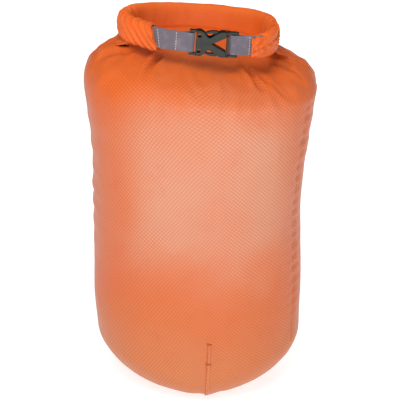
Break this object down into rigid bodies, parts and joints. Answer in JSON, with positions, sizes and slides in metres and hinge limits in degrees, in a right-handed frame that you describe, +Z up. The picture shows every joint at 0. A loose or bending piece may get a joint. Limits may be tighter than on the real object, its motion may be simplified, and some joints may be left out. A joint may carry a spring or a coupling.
{
  "type": "dry bag",
  "caption": "Roll-top dry bag of coated ripstop cloth, full, with its rolled mouth bent into a ring and clipped by a side release buckle.",
  "frame": {"origin": "middle of the flat base, on the surface that the bag stands on", "axes": "+Z up along the bag, +X to the right seen from the buckle's side, and the buckle faces -Y"},
  "size_m": [0.2296, 0.1846, 0.3908],
  "materials": {
    "shell_cloth": "satin",
    "seam_cloth": "satin",
    "seam_tape": "satin",
    "webbing": "matte",
    "thread": "matte",
    "buckle_plastic": "matte"
  },
  "bodies": {
    "bag": {"body_panel": "shell_cloth", "side_seam": "seam_cloth", "side_seam_tape": "seam_tape", "front_base_seam": "seam_cloth", "rear_base_seam": "seam_cloth", "base_seam_tape": "seam_tape", "base_tacks": "thread", "neck_front": "shell_cloth", "neck_rear": "shell_cloth"},
    "roll": {"roll_rear": "shell_cloth", "roll_left_bend": "shell_cloth", "roll_left_arm": "shell_cloth", "roll_right_side": "shell_cloth", "lip_webbing_rear": "webbing", "lip_webbing_left": "webbing", "lip_webbing_right": "webbing", "left_tab": "webbing", "left_tab_stitches": "thread", "buckle_socket": "buckle_plastic"},
    "right_end": {"roll_right_bend": "shell_cloth", "roll_right_arm": "shell_cloth", "lip_webbing_tip": "webbing", "right_tab": "webbing", "right_tab_stitches": "thread", "buckle_plug": "buckle_plastic"},
    "upper_spring_arm": {"upper_prong": "buckle_plastic"},
    "lower_spring_arm": {"lower_prong": "buckle_plastic"}
  },
  "joints": [
    {"name": "ring_lift", "type": "hinge", "parent": "bag", "child": "roll", "pos_m": [0, 0.05, 0.3535], "axis": [-1, 0, 0], "range_deg": [0, 40], "deforming": ["neck_front", "neck_rear"]},
    {"name": "buckle_release", "type": "slide", "parent": "roll", "child": "right_end", "axis": [0.9976, 0, -0.0698], "range_m": [0, 0.03], "deforming": ["upper_prong", "lower_prong"]},
    {"name": "upper_squeeze", "type": "hinge", "parent": "right_end", "child": "upper_spring_arm", "pos_m": [0.02651, -0.04602, 0.38108], "axis": [0.0018, -0.9997, 0.0261], "range_deg": [0, 8], "stiffness_Nm_per_rad": 0.05},
    {"name": "lower_squeeze", "type": "hinge", "parent": "right_end", "child": "lower_spring_arm", "pos_m": [0.02516, -0.04652, 0.36173], "axis": [-0.0018, 0.9997, -0.0261], "range_deg": [0, 8], "stiffness_Nm_per_rad": 0.05}
  ]
}
